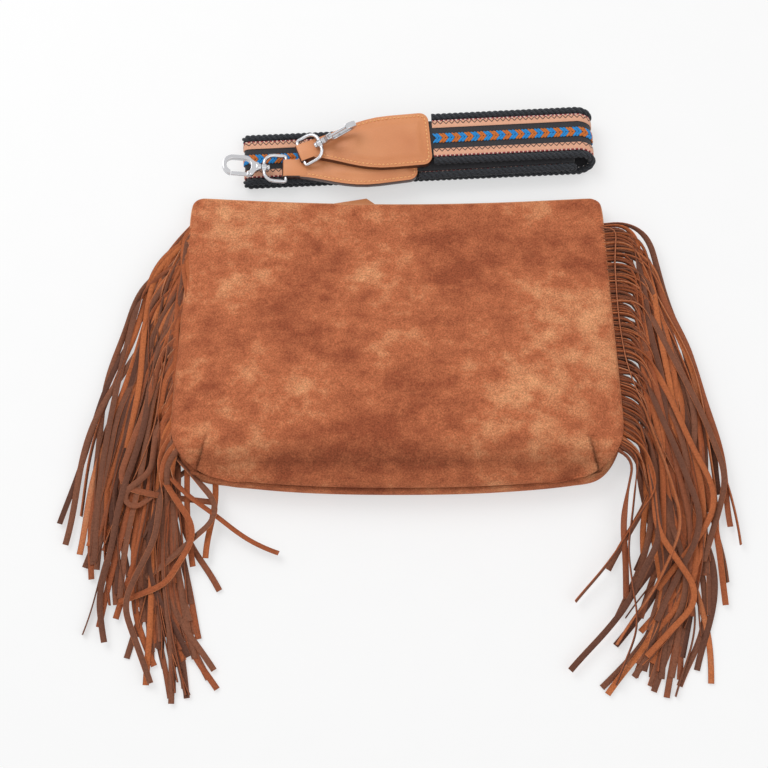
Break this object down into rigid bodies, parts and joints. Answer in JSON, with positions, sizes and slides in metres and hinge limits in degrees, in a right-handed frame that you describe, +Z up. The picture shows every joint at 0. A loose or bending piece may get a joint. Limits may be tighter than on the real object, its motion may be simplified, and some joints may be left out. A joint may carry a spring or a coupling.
{
  "type": "fringed suede shoulder bag",
  "caption": "Soft suede shoulder bag lying flat, with long side fringes, an open lined mouth and an unclipped woven strap with leather ends and snap hooks.",
  "frame": {"origin": "on the flat underside that the bag lies on, on the bag's middle line", "axes": "+X across the bag, +Y from the base towards the mouth, +Z up out of the back panel"},
  "size_m": [0.5034, 0.4369, 0.0463],
  "materials": {
    "suede": "napped suede",
    "fringe_suede": "napped suede",
    "lining_cloth": "plain cotton",
    "leather": "smooth",
    "black_cord": "twisted cord",
    "grey_webbing": "woven",
    "two_colour_braid": "braided yarn",
    "peach_ribbon": "woven ribbon",
    "nickel": "polished"
  },
  "bodies": {
    "bag_and_strap": {"back_panel": "suede", "front_panel": "suede", "lining_back": "lining_cloth", "lining_front": "lining_cloth", "fringe_left": "fringe_suede", "fringe_right": "fringe_suede", "closing_tab": "leather", "snap_socket": "nickel", "snap_stud": "nickel", "ring_tab_left": "leather", "ring_tab_right": "leather", "strap_webbing": "grey_webbing", "edge_cord_far": "black_cord", "edge_cord_near": "black_cord", "chevron_braid": "two_colour_braid", "ribbon_far": "peach_ribbon", "ribbon_near": "peach_ribbon", "leather_end_upper": "leather", "leather_end_lower": "leather"},
    "ring_left": {"side_ring_left": "nickel"},
    "ring_right": {"side_ring_right": "nickel"},
    "eye_upper": {"hook_eye_upper": "nickel"},
    "eye_lower": {"hook_eye_lower": "nickel"},
    "hook_upper_body": {"hook_upper": "nickel", "gate_pin_upper": "nickel"},
    "hook_lower_body": {"hook_lower": "nickel", "gate_pin_lower": "nickel"},
    "gate_upper_body": {"gate_upper": "nickel"},
    "gate_lower_body": {"gate_lower": "nickel"}
  },
  "joints": [
    {"name": "left_ring_hinge", "type": "hinge", "parent": "bag_and_strap", "child": "ring_left", "pos_m": [-0.138, 0.09, 0.005], "axis": [1, 0, 0], "range_deg": [-5, 14]},
    {"name": "right_ring_hinge", "type": "hinge", "parent": "bag_and_strap", "child": "ring_right", "pos_m": [0.138, 0.09, 0.005], "axis": [1, 0, 0], "range_deg": [-5, 14]},
    {"name": "upper_eye_hinge", "type": "hinge", "parent": "bag_and_strap", "child": "eye_upper", "pos_m": [-0.07329, 0.14721, 0.0212], "axis": [0.3641, -0.9313, 0], "range_deg": [0, 60]},
    {"name": "upper_swivel", "type": "hinge", "parent": "eye_upper", "child": "hook_upper_body", "pos_m": [-0.05882, 0.15286, 0.02812], "axis": [0.8508, 0.3327, 0.4067], "continuous": true},
    {"name": "upper_gate_hinge", "type": "hinge", "parent": "hook_upper_body", "child": "gate_upper_body", "pos_m": [-0.05079, 0.15403, 0.03863], "axis": [-0.4544, 0.8544, 0.2518], "range_deg": [0, 22], "stiffness_Nm_per_rad": 0.002},
    {"name": "lower_eye_hinge", "type": "hinge", "parent": "bag_and_strap", "child": "eye_lower", "pos_m": [-0.08528, 0.13723, 0.0151], "axis": [-0.0005, 1, 0], "range_deg": [0, 75]},
    {"name": "lower_swivel", "type": "hinge", "parent": "eye_lower", "child": "hook_lower_body", "pos_m": [-0.10202, 0.13723, 0.01805], "axis": [-0.9848, -0.0005, 0.1736], "continuous": true},
    {"name": "lower_gate_hinge", "type": "hinge", "parent": "hook_lower_body", "child": "gate_lower_body", "pos_m": [-0.11334, 0.13057, 0.02005], "axis": [-0.1736, -0.0001, -0.9848], "range_deg": [0, 22], "stiffness_Nm_per_rad": 0.002}
  ]
}
